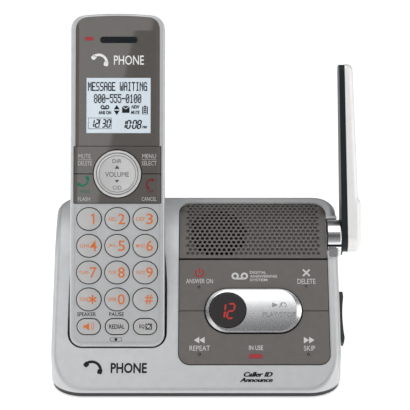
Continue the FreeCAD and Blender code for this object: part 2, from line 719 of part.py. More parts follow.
def keypad_groove():
    """Fine line round the keypad, open towards the soft keys."""
    inset, width, depth = GROOVE
    half, r, top = HAND_W / 2 - inset, HAND_FOOT_R - inset, SOFT_U[0]
    wide = plate(-half, half, inset, top, -depth, 3, (r, r, 0, 0))
    half, low, r = half - width, inset + width, r - width
    return wide.cut(plate(-half, half, low, top + 1, -depth - 1, 4, (r, r, 0, 0)))


def make_front_frame():
    """Front housing: rim, keypad face, and recesses for the lens and the soft keys."""
    block = hand_block(0, 0, HAND_L)
    block = rounded(block, 1.3, lambda e: e.BoundBox.ZMin > -0.01)
    half = HAND_W
    front = block.common(plate(-half, half, -5, HAND_L + 5, HAND_SPLIT, 5))
    cavity = hand_cavity().common(plate(-half, half, -5, HAND_L + 5, -40, -HAND_FACE))
    front = front.cut(cavity)
    posts = []
    for x, u in HAND_SCREWS:
        posts.append(disc(x, u, 2.6, HAND_SPLIT - 3.0, -5.0))
    front = front.multiFuse(posts).common(block)
    cuts = key_holes()
    cuts.append(slab(lens_outline(SEAT_GAP), LENS_SEAT, 3))
    cuts.append(plate(-SOFT_X - 0.35, SOFT_X + 0.35, SOFT_U[0] - 0.3, SOFT_U[1] + 0.3, -5, 3, 0.5))
    cuts.append(keypad_groove())
    cuts.append(plate(*LCD, -5, 0))
    cuts.append(stadium(*EAR_SLOT, -5, 3))
    cuts.append(stadium(*MESSAGE_LED, -5, 3))
    cuts.append(stadium(*MIC_SLOT, -MIC_RECESS, 3))
    cuts.append(disc(MIC_SLOT[0], MIC_SLOT[1], MIC_HOLE_R, -5, 3))
    for x, u in HAND_SCREWS:
        cuts.append(disc(x, u, 0.9, HAND_SPLIT - 4, -5.2))
    return put(front.cut(Part.makeCompound(cuts)).removeSplitter(), HAND)


def back_zone(half, u0, u1, rim, depth):
    """The handset's back skin down to a depth, between two heights and as wide as stated."""
    zone = plate(-half, half, u0, u1, -40, rim, 2.0)
    return zone.cut(hand_block(-depth, -20, HAND_L + 20))


def make_back_shell():
    """Rear housing with a stepped seat that the battery cover slides down along."""
    block = hand_block(0, 0, HAND_L)
    half = HAND_W
    back = block.common(plate(-half, half, -5, HAND_L + 5, -40, HAND_SPLIT))
    shell = back.cut(hand_cavity())
    low = COVER_U[0] - COVER_SLIDE
    liner = back_zone(18.6, low - 2.0, COVER_U[1] + 2.0, -14.4, COVER_T + 1.6).common(back)
    shell = shell.fuse(liner)
    shell = shell.cut(back_zone(17.0, low - 0.3, COVER_U[1] + 0.3, -16.0, COVER_T + 0.15))
    opening = plate(-15.0, 15.0, COVER_U[0] + 3, COVER_U[1] - 3, -40, -19.0, 2.0)
    cuts = [opening]
    for x, u in HAND_SCREWS:
        cuts.append(disc(x, u, 1.3, -40, HAND_SPLIT + 1))
        cuts.append(disc(x, u, 2.6, -40, HAND_SCREW_SEAT))
        cuts.append(disc(x, u, 2.7, HAND_SPLIT - 3.2, HAND_SPLIT + 1))
    for ring, count in ((0.0, 1), (3.2, 6), (6.4, 12)):
        for i in range(count):
            a = 2 * math.pi * i / count
            cuts.append(disc(ring * math.cos(a), SPEAKER_U + ring * math.sin(a), 0.8, -40, -20))
    for x in CONTACT_X:
        cuts.append(plate(x - 3.0, x + 3.0, -1, 0.8, CONTACT_W - 3.5, CONTACT_W + 3.5))
    posts = []
    for x, u in HAND_SCREWS:
        posts.append(disc(x, u, 3.6, -30, HAND_SPLIT - 3.3).common(back))
    return put(shell.multiFuse(posts).cut(Part.makeCompound(cuts)).removeSplitter(), HAND)


def make_battery_cover():
    zone = plate(-16.8, 16.8, COVER_U[0], COVER_U[1], -40, -16.2, 1.9)
    cover = zone.common(hand_block(0, 0, HAND_L)).cut(hand_block(-COVER_T, -20, HAND_L + 20))
    grooves = []
    for i in range(5):
        u = COVER_U[0] + 8 + 2.4 * i
        grooves.append(Part.makeCylinder(0.6, 16, V(-8, u, -HAND_T - 0.15), X_AXIS))
    return put(cover.cut(Part.makeCompound(grooves)), HAND)


def make_battery_pack():
    cells = []
    low, high = BATTERY_U
    for x in (-CELL_PITCH, 0.0, CELL_PITCH):
        cells.append(Part.makeCylinder(CELL_R, high - low, V(x, low, CELL_W), V(0, 1, 0)))
    wrap = plate(-CELL_PITCH, CELL_PITCH, low + 3, high - 3, CELL_W - 3.5, CELL_W + 3.5)
    return put(join(cells + [wrap]), HAND)


def bevelled_bar(x_half, u0, u1, low, wire):
    """Bar across the handset with a flat top and sloping long sides, cut to an outline."""
    blank = slab(wire, low, LENS_TOP)
    shape = [V(-x_half, u0 - 5, low), V(x_half, u0 - 5, low), V(x_half, u0 - 5, 0),
             V(x_half - LENS_BEVEL, u0 - 5, LENS_TOP), V(-x_half + LENS_BEVEL, u0 - 5, LENS_TOP),
             V(-x_half, u0 - 5, 0)]
    return blank.common(Part.Face(closed_wire(shape)).extrude(V(0, u1 - u0 + 10, 0)))


def make_display_lens():
    low, high = LENS_U
    lens = bevelled_bar(LENS_X, low, high, LENS_SEAT, lens_outline(0))
    length, drop = LENS_CREASE
    crease = side_slab(((low - 5, -3), (high, -3), (high, LENS_TOP - drop), (high - length, LENS_TOP),
                        (low - 5, LENS_TOP)), -30, 30)
    lens = lens.common(crease)
    window = plate(*LCD_WINDOW, -5, 5)
    return put(lens.cut(stadium(*EAR_SLOT, -5, 5)).cut(stadium(*MESSAGE_LED, -5, 5)).cut(window), HAND)


def make_soft_keys(u0, u1):
    bar = bevelled_bar(SOFT_X, u0, u1, -2.6, outline(-SOFT_X, SOFT_X, u0, u1, (0.4,) * 4))
    return put(bar.cut(disc(0, NAV_U, NAV_R + KEY_GAP, -5, 5)), HAND)


def make_nav_key():
    """Round rocker with a raised ring and a dished middle."""
    body = disc(0, NAV_U, NAV_R, -3.6, 1.5)
    body = rounded(body, 0.9, lambda e: e.BoundBox.ZMin > 1.49)
    sink = Part.makeCone(NAV_DISH_R - 0.7, NAV_DISH_R, 0.7, V(0, NAV_U, 0.8))
    bowl = Part.makeSphere(60.0, V(0, NAV_U, 60.0 + 0.1)).common(disc(0, NAV_U, NAV_DISH_R - 0.7, 0, 2))
    return put(body.cut(sink).cut(bowl), HAND)


def make_dial_key(x, u):
    w, h = KEY_SIZE
    cap = oval(x, u, w, h, KEY_FLANGE[0], KEY_RISE + 1)
    cap = cap.common(Part.makeSphere(KEY_DOME_R, V(x, u, KEY_RISE - KEY_DOME_R)))
    reach = 2 * KEY_FLANGE_REACH
    flange = oval(x, u, w + reach, h + reach, *KEY_FLANGE)
    return put(join([cap, flange]), HAND)


def make_function_key(x):
    w, h = FUNC_SIZE
    cap = stadium(x, FUNC_U, w, h, KEY_FLANGE[0], KEY_RISE)
    cap = cap.makeFillet(0.6, [e for e in cap.Edges if e.BoundBox.ZMin > KEY_RISE - 0.01])
    reach = 2 * KEY_FLANGE_REACH
    flange = stadium(x, FUNC_U, w + reach, h + reach, *KEY_FLANGE)
    return put(join([cap, flange]), HAND)


def make_handset_key_mat():
    mat = plate(-20.5, 20.5, 5.0, 101.0, HAND_MAT[0], HAND_MAT[1], 2.0)
    cuts = [disc(x, u, 2.9, -20, 0) for x, u in HAND_SCREWS]
    cuts.append(disc(MIC_SLOT[0], MIC_SLOT[1], MIC_R + 0.3, -20, 0))
    return put(mat.cut(Part.makeCompound(cuts)), HAND)


def make_handset_pcb():
    board = plate(-20.5, 20.5, 5.0, 165.0, HAND_PCB[0], HAND_PCB[1], 3.0)
    cuts = [disc(x, u, 2.9, -20, 0) for x, u in HAND_SCREWS]
    return put(board.cut(Part.makeCompound(cuts)), HAND)


def make_lcd_module():
    """Display body on the circuit board, with its glass raised into the window of the lens."""
    x0, x1, u0, u1 = LCD
    body = plate(x0 + 0.1, x1 - 0.1, u0 + 0.1, u1 - 0.1, HAND_PCB[1], -1.6, 0.3)
    x0, x1, u0, u1 = LCD_WINDOW
    glass = plate(x0 + 0.1, x1 - 0.1, u0 + 0.1, u1 - 0.1, -2.0, LENS_TOP - LCD_DEPTH)
    return put(join([body, glass]), HAND)


def make_earpiece_grille():
    x, u, w, h = EAR_SLOT
    bar = stadium(x, u, w - 0.1, h - 0.1, -2.2, LENS_TOP - 0.35)
    holes = []
    for row, shift in ((-0.8, 0.0), (0.0, 0.5), (0.8, 0.0)):
        for i in range(17):
            holes.append(disc(x - 8.25 + i + shift, u + row, 0.28, -4, 2))
    return put(bar.cut(Part.makeCompound(holes)), HAND)


def make_earpiece_receiver():
    x, u = EAR_SLOT[:2]
    return put(join([disc(x, u - 1.5, 6.4, -5.6, -2.5), disc(x, u - 1.5, 4.5, -6.8, -5.6)]), HAND)


def make_message_led():
    x, u, w, h = MESSAGE_LED
    return put(stadium(x, u, w - 0.1, h - 0.1, HAND_PCB[1], LENS_TOP + 0.05), HAND)


def make_microphone():
    x, u = MIC_SLOT[:2]
    return put(disc(x, u, MIC_R, -6.6, -2.5), HAND)


def make_handset_speaker():
    rim = disc(0, SPEAKER_U, 9.6, -22.4, -20.6)
    magnet = disc(0, SPEAKER_U, 6.5, -20.6, -16.8)
    return put(join([rim, magnet]), HAND)


def make_charge_pads():
    pads = []
    for x in CONTACT_X:
        pads.append(plate(x - 3.0, x + 3.0, 0.0, 0.8, CONTACT_W - 3.5, CONTACT_W + 3.5))
    return put(Part.makeCompound(pads), HAND)


def make_handset_screws():
    screws = []
    for x, u in HAND_SCREWS:
        head = disc(x, u, 2.2, HAND_SCREW_SEAT - 1.4, HAND_SCREW_SEAT)
        shank = disc(x, u, 0.9, HAND_SCREW_SEAT, -5.2)
        screws.append(head.fuse(shank).cut(disc(x, u, 0.8, -25, HAND_SCREW_SEAT - 0.8)).removeSplitter())
    return put(Part.makeCompound(screws), HAND)


# ---------------------------------------------------------------- all nodes

DIAL_NAMES = (("1", "2", "3"), ("4", "5", "6"), ("7", "8", "9"), ("star", "0", "hash"))
FUNCTION_NAMES = ("speaker_key", "redial_key", "eq_key")


def all_nodes():
    nodes = {
        "base_top_shell": make_top_shell(),
        "base_bottom_shell": make_bottom_shell(),
        "rubber_feet": make_feet(),
        "base_screws": make_base_screws(),
        "speaker_grille": make_grille(),
        "base_loudspeaker": make_loudspeaker(),
        "upper_key_plate": make_upper_key_plate(),
        "lower_key_plate": make_lower_key_plate(),
        "in_use_lens": make_in_use_lens(),
        "play_stop_button": make_play_button(),
        "message_window": make_message_window(),
        "message_display": make_message_display(),
        "base_key_mat": make_base_key_mat(),
        "base_circuit_board": make_base_pcb(),
        "volume_rocker": make_volume_rocker(),
        "line_jack": make_line_jack(),
        "power_jack": make_power_jack(),
        "charge_contact_left": make_charge_contact(CONTACT_X[0]),
        "charge_contact_right": make_charge_contact(CONTACT_X[1]),
        "antenna_hinge_pin": make_hinge_pin(),
        "knuckle_tab": make_knuckle_tab(),
        "antenna_inner_shell": make_antenna_inner(),
        "antenna_outer_shell": make_antenna_outer(),
        "antenna_element": make_antenna_element(),
        "knuckle_upper_shell": knuckle_half(1),
        "knuckle_lower_shell": knuckle_half(-1),
        "handset_front_frame": make_front_frame(),
        "handset_back_shell": make_back_shell(),
        "battery_cover": make_battery_cover(),
        "battery_pack": make_battery_pack(),
        "display_lens": make_display_lens(),
        "lcd_module": make_lcd_module(),
        "message_led": make_message_led(),
        "earpiece_grille": make_earpiece_grille(),
        "earpiece_receiver": make_earpiece_receiver(),
        "microphone": make_microphone(),
        "handset_loudspeaker": make_handset_speaker(),
        "handset_key_mat": make_handset_key_mat(),
        "handset_circuit_board": make_handset_pcb(),
        "charge_pads": make_charge_pads(),
        "handset_screws": make_handset_screws(),
        "navigation_key": make_nav_key(),
        "upper_soft_keys": make_soft_keys(NAV_U + 0.2, SOFT_U[1]),
        "lower_soft_keys": make_soft_keys(SOFT_U[0], NAV_U - 0.2),
    }
    for u, names in zip(KEY_ROWS, DIAL_NAMES):
        for x, name in zip(KEY_COLS, names):
            nodes["dial_key_" + name] = make_dial_key(x, u)
    for x, name in zip(KEY_COLS, FUNCTION_NAMES):
        nodes[name] = make_function_key(x)
    return nodes


def main():
    os.makedirs("parts", exist_ok=True)
    for name, shape in all_nodes().items():
        shape.exportStep(os.path.join("parts", name + ".step"))
        box = shape.BoundBox
        print(f"{name:24s} solids {len(shape.Solids)} valid {shape.isValid()} volume {shape.Volume:9.1f} "
              f"x {box.XMin:.1f} {box.XMax:.1f} y {box.YMin:.1f} {box.YMax:.1f} z {box.ZMin:.1f} {box.ZMax:.1f}")


main()
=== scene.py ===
import json
import math

import bmesh
import bpy
from mathutils import Matrix, Quaternion, Vector
from mathutils.bvhtree import BVHTree


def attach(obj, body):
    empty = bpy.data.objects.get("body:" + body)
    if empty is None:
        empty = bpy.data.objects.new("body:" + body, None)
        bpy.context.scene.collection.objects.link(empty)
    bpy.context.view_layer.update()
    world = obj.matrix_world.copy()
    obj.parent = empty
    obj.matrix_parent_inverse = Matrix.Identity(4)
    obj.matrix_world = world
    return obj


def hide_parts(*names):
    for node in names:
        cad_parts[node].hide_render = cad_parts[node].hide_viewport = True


# Looks of a cordless telephone: materials, perforated grille, printed legends, display, light
# and camera. Drawings are laid out in millimetres on the face that they are printed on, x to the
# right and u up along the face; the scene is in metres.

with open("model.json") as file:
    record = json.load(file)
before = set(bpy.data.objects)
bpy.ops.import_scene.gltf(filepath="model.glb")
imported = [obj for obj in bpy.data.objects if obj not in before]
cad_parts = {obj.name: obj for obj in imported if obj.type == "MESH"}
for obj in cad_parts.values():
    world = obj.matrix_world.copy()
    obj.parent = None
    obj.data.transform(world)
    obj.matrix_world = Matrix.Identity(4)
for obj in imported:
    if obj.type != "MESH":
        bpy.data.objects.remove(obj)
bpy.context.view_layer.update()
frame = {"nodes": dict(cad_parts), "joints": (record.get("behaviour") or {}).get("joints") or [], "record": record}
nodes = frame["nodes"]
slot_of = {part["node"]: part["material_slot"] for part in frame["record"]["subparts"]}
axis_of = {joint["name"]: joint["axis"] for joint in frame["joints"]}

MM = 0.001
GRID = 0.7                # prints on curved surfaces are cut into squares of this size
RAY_START = 20.0          # prints are dropped onto their surface from this height
SUNK = 0.02               # a print starts this far below its surface
LIFT = 0.05               # and most prints stand this proud of it
FLUSH = 0.03              # display characters
FAINT = 0.02              # the painted shade round the mouthpiece slot and over its hole
OVER_PRINT = 0.09         # a print on top of another print
EMBOSSED = 0.16           # the raised sign on the play/stop button


# ---------------------------------------------------------------- places on the model

class Place:
    """A tilted plane of the model, with x to the right, u up along it and w out of it."""

    def __init__(self, up):
        self.up = Vector(up).normalized()
        self.out = Vector((1, 0, 0)).cross(self.up)
        self.origin = Vector((0, 0, 0))

    def point(self, x, u, w=0.0):
        return self.origin + MM * (Vector((x, 0, 0)) + u * self.up + w * self.out)

    def span(self, node):
        """Lowest and highest (x, u, w) of a CAD node."""
        away = [v.co - self.origin for v in nodes[node].data.vertices]
        rows = [(p.x / MM, p.dot(self.up) / MM, p.dot(self.out) / MM) for p in away]
        return tuple(map(min, zip(*rows))), tuple(map(max, zip(*rows)))

    def middle(self, node):
        low, high = self.span(node)
        return (low[0] + high[0]) / 2, (low[1] + high[1]) / 2


def handset_place():
    """u is 0 at the handset's foot, x on its centre line, w on the face round the keys."""
    place = Place(axis_of["handset_lift"])
    low, high = place.span("handset_front_frame")
    place.origin = place.point((low[0] + high[0]) / 2, low[1], high[2])
    return place


def panel_place():
    """u is 0 at the split between the two key plates, w on their faces."""
    place = Place(axis_of["upper_plate_rock"])
    lower, upper = place.span("lower_key_plate")[1], place.span("upper_key_plate")[0]
    place.origin = place.point(0, (lower[1] + upper[1]) / 2, lower[2])
    return place


hand = handset_place()
panel = panel_place()
trees = {}


def surface_tree(node):
    if node not in trees:
        mesh = nodes[node].data
        corners = [v.co for v in mesh.vertices]
        trees[node] = BVHTree.FromPolygons(corners, [p.vertices for p in mesh.polygons])
    return trees[node]


def add_mesh(name, points, faces, material, body):
    """A flat-shaded piece that rides a body."""
    mesh = bpy.data.meshes.new(name)
    mesh.from_pydata(points, [], faces)
    mesh.validate()
    mesh.update()
    mesh.polygons.foreach_set("use_smooth", [False] * len(mesh.polygons))
    piece = bpy.data.objects.new(name, mesh)
    bpy.context.scene.collection.objects.link(piece)
    mesh.materials.append(material)
    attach(piece, body)
    return piece


# ---------------------------------------------------------------- materials

NOISE_LOW, NOISE_HIGH = 0.3, 0.7      # the part of a noise texture's range that is used
GRAIN_DEPTH = 0.00002
COAT_ROUGH = 0.04
GLOSSIEST = 0.02


def mottled(name, colour, rough, metallic=0.0, spread=0.04, size=0.004, grain=0.05,
            grain_size=0.0004, coat=0.0, ior=1.5, glow=0.0, rough_spread=0.06):
    """Moulded or painted surface: a faint change of tone, an uneven gloss and a fine grain."""
    material = bpy.data.materials.new(name)
    material.use_nodes = True
    tree = material.node_tree
    shader = tree.nodes["Principled BSDF"]
    shader.inputs["Metallic"].default_value = metallic
    shader.inputs["IOR"].default_value = ior
    shader.inputs["Coat Weight"].default_value = coat
    shader.inputs["Coat Roughness"].default_value = COAT_ROUGH
    shader.inputs["Emission Color"].default_value = (*colour, 1)
    shader.inputs["Emission Strength"].default_value = glow
    place = tree.nodes.new("ShaderNodeTexCoord")

    def noise(scale, detail):
        node = tree.nodes.new("ShaderNodeTexNoise")
        node.inputs["Scale"].default_value = 1 / scale
        node.inputs["Detail"].default_value = detail
        tree.links.new(place.outputs["Object"], node.inputs["Vector"])
        return node

    def ranged(source, low, high):
        node = tree.nodes.new("ShaderNodeMapRange")
        node.inputs["From Min"].default_value = NOISE_LOW
        node.inputs["From Max"].default_value = NOISE_HIGH
        node.inputs["To Min"].default_value = low
        node.inputs["To Max"].default_value = high
        tree.links.new(source.outputs["Fac"], node.inputs["Value"])
        return node

    broad, fine = noise(size, 3.0), noise(grain_size, 2.0)
    ramp = tree.nodes.new("ShaderNodeValToRGB")
    ramp.color_ramp.elements[0].position = NOISE_LOW
    ramp.color_ramp.elements[1].position = NOISE_HIGH
    for element, share in zip(ramp.color_ramp.elements, (1 - spread, 1 + spread)):
        element.color = (*(min(1.0, c * share) for c in colour), 1)
    tree.links.new(broad.outputs["Fac"], ramp.inputs["Fac"])
    tree.links.new(ramp.outputs["Color"], shader.inputs["Base Color"])
    gloss = ranged(fine, max(GLOSSIEST, rough - rough_spread), min(1.0, rough + rough_spread))
    tree.links.new(gloss.outputs["Result"], shader.inputs["Roughness"])
    bump = tree.nodes.new("ShaderNodeBump")
    bump.inputs["Strength"].default_value = grain
    bump.inputs["Distance"].default_value = GRAIN_DEPTH
    tree.links.new(fine.outputs["Fac"], bump.inputs["Height"])
    tree.links.new(bump.outputs["Normal"], shader.inputs["Normal"])
    return material


def ink(name, colour, glow=0.0):
    return mottled(name, colour, 0.6, spread=0.03, size=0.0015, grain=0.2, ior=1.3, glow=glow)


LOOKS = {
    "silver_paint": dict(colour=(0.545, 0.553, 0.558), rough=0.42, metallic=0.5, spread=0.03,
                         grain=0.5, grain_size=0.00025, rough_spread=0.05),
    "taupe_plastic": dict(colour=(0.123, 0.111, 0.102), rough=0.48, spread=0.05, grain=0.6,
                          grain_size=0.0003),
    "black_plastic": dict(colour=(0.022, 0.022, 0.025), rough=0.42, grain=0.6, grain_size=0.0005),
    "dark_grey_plastic": dict(colour=(0.012, 0.016, 0.019), rough=0.45, grain=0.4, ior=1.3),
    "smoke_lens": dict(colour=(0.097, 0.088, 0.080), rough=0.03, spread=0.03, grain=0.01,
                       coat=0.7, ior=1.6, rough_spread=0.01),
    "black_lens": dict(colour=(0.016, 0.013, 0.013), rough=0.05, spread=0.05, grain=0.02,
                       coat=0.5, rough_spread=0.02),
    "chrome_plate": dict(colour=(0.74, 0.745, 0.755), rough=0.17, metallic=1.0, spread=0.02,
                         grain=0.05, rough_spread=0.03),
    "satin_chrome": dict(colour=(0.66, 0.66, 0.665), rough=0.25, metallic=1.0, spread=0.02,
                         grain=0.1, grain_size=0.0003, rough_spread=0.04),
    "key_silver": dict(colour=(0.50, 0.495, 0.49), rough=0.36, metallic=0.25, spread=0.03,
                       grain=0.3, grain_size=0.0003),
    "nav_silver": dict(colour=(0.58, 0.575, 0.57), rough=0.36, metallic=0.25, spread=0.03,
                       grain=0.3, grain_size=0.0003),
    "red_lens": dict(colour=(0.32, 0.02, 0.03), rough=0.35, spread=0.08, size=0.002, glow=0.08),
    "lcd_glass": dict(colour=(0.60, 0.67, 0.73), rough=0.14, spread=0.02, size=0.01, coat=0.5,
                      glow=0.12),
    "rubber_black": dict(colour=(0.02, 0.02, 0.021), rough=0.6, grain=0.8, grain_size=0.0003),
    "circuit_green": dict(colour=(0.03, 0.16, 0.06), rough=0.4, spread=0.15, size=0.002),
    "steel": dict(colour=(0.58, 0.58, 0.6), rough=0.28, metallic=1.0, grain=0.3),
    "nickel": dict(colour=(0.72, 0.69, 0.62), rough=0.22, metallic=1.0, grain=0.2),
    "speaker_paper": dict(colour=(0.022, 0.021, 0.02), rough=0.8, spread=0.2, size=0.001,
                          grain=1.0),
    "battery_wrap": dict(colour=(0.06, 0.2, 0.1), rough=0.3, spread=0.05),
    "antenna_silver": dict(colour=(0.83, 0.82, 0.81), rough=0.38, metallic=0.15, spread=0.02,
                           grain=0.3, grain_size=0.0003),
}
PAINTS = {name: mottled(name, **look) for name, look in LOOKS.items()}

INKS = {
    "white": ink("print_white", (0.80, 0.80, 0.80)),
    "label": ink("print_label", (0.62, 0.61, 0.60)),
    "pale": ink("print_pale", (0.48, 0.47, 0.455)),
    "grey": ink("print_grey", (0.10, 0.10, 0.105)),
    "dark": ink("print_dark", (0.012, 0.012, 0.014)),
    "orange": ink("print_orange", (0.66, 0.175, 0.045)),
    "apricot": ink("print_apricot", (0.64, 0.235, 0.10)),
    "red": ink("print_red", (0.38, 0.03, 0.035)),
    "maroon": ink("print_maroon", (0.16, 0.02, 0.025)),
    "green": ink("print_green", (0.02, 0.16, 0.085)),
    # darker than the button's metal: painted shade for the raised play/stop sign
    "metal": mottled("print_shaded_metal", (0.27, 0.27, 0.275), 0.4, metallic=0.3, spread=0.03),
    "segment": ink("display_segment", (0.01, 0.011, 0.014)),
    "lit": ink("display_lit", (0.42, 0.03, 0.03), glow=0.22),
}

# pieces that look different from the rest of their slot; the two key mats are painted black, darker than their
# slot, as painted shade in the gaps round the keys
OWN_PAINT_AND_GAP_SHADE = {"knuckle_tab": "chrome_plate", "play_stop_button": "satin_chrome",
             "base_key_mat": "rubber_black", "handset_key_mat": "rubber_black",
             "navigation_key": "nav_silver"}

for node, piece in nodes.items():
    piece.data.materials.clear()
    piece.data.materials.append(PAINTS[OWN_PAINT_AND_GAP_SHADE.get(node, slot_of[node])])

KEY_SHOWN = 1.3           # depth of a key's metal-coloured part, below its highest point; below it the key is painted black as shade
NAVIGATION_SHOWN = 2.6
PLAY_SHOWN = 2.0


def paint_gap_shade_below(node, place, depth):
    """Black paint for the part of a key that lies in its opening: painted shade, standing in for the shadow in the
    gap round the key.
    """
    floor = place.span(node)[1][2] - depth
    mesh = nodes[node].data
    mesh.materials.append(PAINTS["black_plastic"])
    for polygon in mesh.polygons:
        if (polygon.center - place.origin).dot(place.out) / MM < floor:
            polygon.material_index = 1


# painted shade: the sunk parts of the keys and of the play/stop button are made black so their gaps look dark
for node in nodes:
    if slot_of[node] == "key_silver":
        paint_gap_shade_below(node, hand, NAVIGATION_SHOWN if node == "navigation_key" else KEY_SHOWN)
paint_gap_shade_below("play_stop_button", panel, PLAY_SHOWN)


# ---------------------------------------------------------------- flat drawings
# A drawing is a list of (points, faces), with points as (x, u).

def shape(*points):
    return [(list(points), [tuple(range(len(points)))])]


def block(x0, x1, u0, u1):
    return shape((x0, u0), (x1, u0), (x1, u1), (x0, u1))


def bar(x0, u0, x1, u1, width):
    along = Vector((x1 - x0, u1 - u0)).normalized() * (width / 2)
    side = (-along.y, along.x)
    return shape((x0 - side[0], u0 - side[1]), (x1 - side[0], u1 - side[1]),
                 (x1 + side[0], u1 + side[1]), (x0 + side[0], u0 + side[1]))


def circle_points(cx, cu, r, start=0.0, end=360.0, steps=24):
    turns = [math.radians(start + (end - start) * i / steps) for i in range(steps + 1)]
    return [(cx + r * math.cos(a), cu + r * math.sin(a)) for a in turns]


def dot(cx, cu, r):
    return shape(*circle_points(cx, cu, r)[:-1])


def ring(cx, cu, r, width, start=0.0, end=360.0, steps=24):
    inner = circle_points(cx, cu, r - width / 2, start, end, steps)
    outer = circle_points(cx, cu, r + width / 2, start, end, steps)
    count = steps + 1
    if end - start >= 360:
        inner, outer, count = inner[:-1], outer[:-1], steps
    faces = []
    for i in range(steps):
        j = (i + 1) % count
        faces.append((i, count + i, count + j, j))
    return [(inner + outer, faces)]


def words(text, x0, x1, u0, u1, weight=0.0, slant=0.0):
    """Lettering fitted to a box, in Blender's own plain font."""
    curve = bpy.data.curves.new("words", "FONT")
    curve.body = text
    curve.offset = weight
    curve.shear = slant
    curve.resolution_u = 3
    holder = bpy.data.objects.new("words", curve)
    bpy.context.scene.collection.objects.link(holder)
    bpy.context.view_layer.update()
    shown = holder.evaluated_get(bpy.context.evaluated_depsgraph_get())
    mesh = bpy.data.meshes.new_from_object(shown)
    flat = [(v.co.x, v.co.y) for v in mesh.vertices]
    faces = [tuple(p.vertices) for p in mesh.polygons]
    bpy.data.objects.remove(holder)
    bpy.data.curves.remove(curve)
    bpy.data.meshes.remove(mesh)
    xs, us = zip(*flat)
    across, tall = (x1 - x0) / (max(xs) - min(xs)), (u1 - u0) / (max(us) - min(us))
    return [([(x0 + (x - min(xs)) * across, u0 + (u - min(us)) * tall) for x, u in flat], faces)]


def moved(drawing, dx=0.0, du=0.0, turn=0.0, scale=1.0):
    """The drawing scaled, turned by degrees and then shifted."""
    c, s = math.cos(math.radians(turn)) * scale, math.sin(math.radians(turn)) * scale
    return [([(dx + c * x - s * u, du + s * x + c * u) for x, u in points], faces)
            for points, faces in drawing]


def gathered(drawing):
    """All points and all faces of a drawing as one list each."""
    points, faces = [], []
    for run, polygons in drawing:
        faces += [tuple(len(points) + i for i in polygon) for polygon in polygons]
        points += run
    return points, faces


def gridded(points, faces):
    """The drawing cut along a fine grid, so that it can follow a curved surface."""
    cut = bmesh.new()
    corners = [cut.verts.new((x, u, 0)) for x, u in points]
    for face in faces:
        cut.faces.new([corners[i] for i in face])
    for axis in (0, 1):
        line = min(point[axis] for point in points) + GRID / 2
        end = max(point[axis] for point in points)
        normal = [0, 0, 0]
        normal[axis] = 1
        while line < end:
            at = [0, 0, 0]
            at[axis] = line
            everything = cut.verts[:] + cut.edges[:] + cut.faces[:]
            bmesh.ops.bisect_plane(cut, geom=everything, plane_co=at, plane_no=normal)
            line += GRID
    cut.verts.index_update()
    flat = [(v.co.x, v.co.y) for v in cut.verts]
    pieces = [tuple(v.index for v in face.verts) for face in cut.faces]
    cut.free()
    return flat, pieces


def print_on(name, body, place, node, drawing, paint, lift=LIFT, curved=False):
    """A thin printed layer that follows the surface of a CAD node."""
    flat, faces = gathered(drawing)
    if curved:
        flat, faces = gridded(flat, faces)
    tree = surface_tree(node)
    top, low = [], []
    for x, u in flat:
        hit = tree.ray_cast(place.point(x, u, RAY_START), -place.out)[0]
        if hit is None:
            hit = place.point(x, u)
        top.append(hit + place.out * (lift * MM))
        low.append(hit - place.out * (SUNK * MM))
    count = len(flat)
    uses = {}
    for face in faces:
        for edge in zip(face, face[1:] + face[:1]):
            uses.setdefault(frozenset(edge), []).append(edge)
    solid = faces + [tuple(count + i for i in reversed(face)) for face in faces]
    for found in uses.values():
        if len(found) == 1:
            a, b = found[0]
            solid.append((b, a, count + a, count + b))
    return add_mesh(name, top + low, solid, paint, body)


# ---------------------------------------------------------------- icons

def power_icon(x, u):
    return ring(x, u, 2.0, 0.75, 125, 415) + bar(x, u - 0.2, x, u + 2.7, 0.75)


def tape_icon(x0, x1, u0, u1, width):
    r = (u1 - u0 - width) / 2
    u = (u0 + u1) / 2
    left, right, foot = x0 + r + width / 2, x1 - r - width / 2, u0 + width / 2
    reels = ring(left, u, r, width) + ring(right, u, r, width)
    return reels + bar(left, foot, right, foot, width)


def cross_icon(x, u, r, width):
    return bar(x - r, u - r, x + r, u + r, width) + bar(x - r, u + r, x + r, u - r, width)


def arrows_icon(x0, x1, u, half, way):
    """Two filled triangles side by side; way is 1 to point right."""
    middle = (x0 + x1) / 2
    drawing = []
    for a, b in ((x0, middle), (middle, x1)):
        tip, root = (b, a) if way > 0 else (a, b)
        if way > 0:
            drawing += shape((root, u - half), (tip, u), (root, u + half))
        else:
            drawing += shape((root, u + half), (tip, u), (root, u - half))
    return drawing


def triangle(x, u, half, height):
    if height > 0:
        return shape((x - half, u), (x + half, u), (x, u + height))
    return shape((x + half, u), (x - half, u), (x, u + height))


def receiver_icon(size):
    """A plain telephone receiver, lying with both ends down, one unit wide per unit of size."""
    bow = ring(0, -0.24, 0.48, 0.15, 28, 152, 12)
    cup = shape((-0.13, -0.09), (-0.08, -0.14), (0.08, -0.14), (0.13, -0.09), (0.13, 0.11),
                (-0.13, 0.11))
    return moved(bow + moved(cup, -0.41, -0.08, -16) + moved(cup, 0.41, -0.08, 16), scale=size)


def speaker_icon(x, u):
    body = block(x - 2.6, x - 1.5, u - 0.75, u + 0.75)
    horn = shape((x - 1.5, u - 0.75), (x + 0.3, u - 2.0), (x + 0.3, u + 2.0), (x - 1.5, u + 0.75))
    waves = ring(x - 0.2, u, 1.75, 0.32, -42, 42, 8) + ring(x - 0.2, u, 2.85, 0.32, -42, 42, 8)
    return body + horn + waves


# ---------------------------------------------------------------- display characters

SEGMENTS = {"0": "abcdef", "1": "bc", "2": "abged", "3": "abgcd", "8": "abcdefg"}

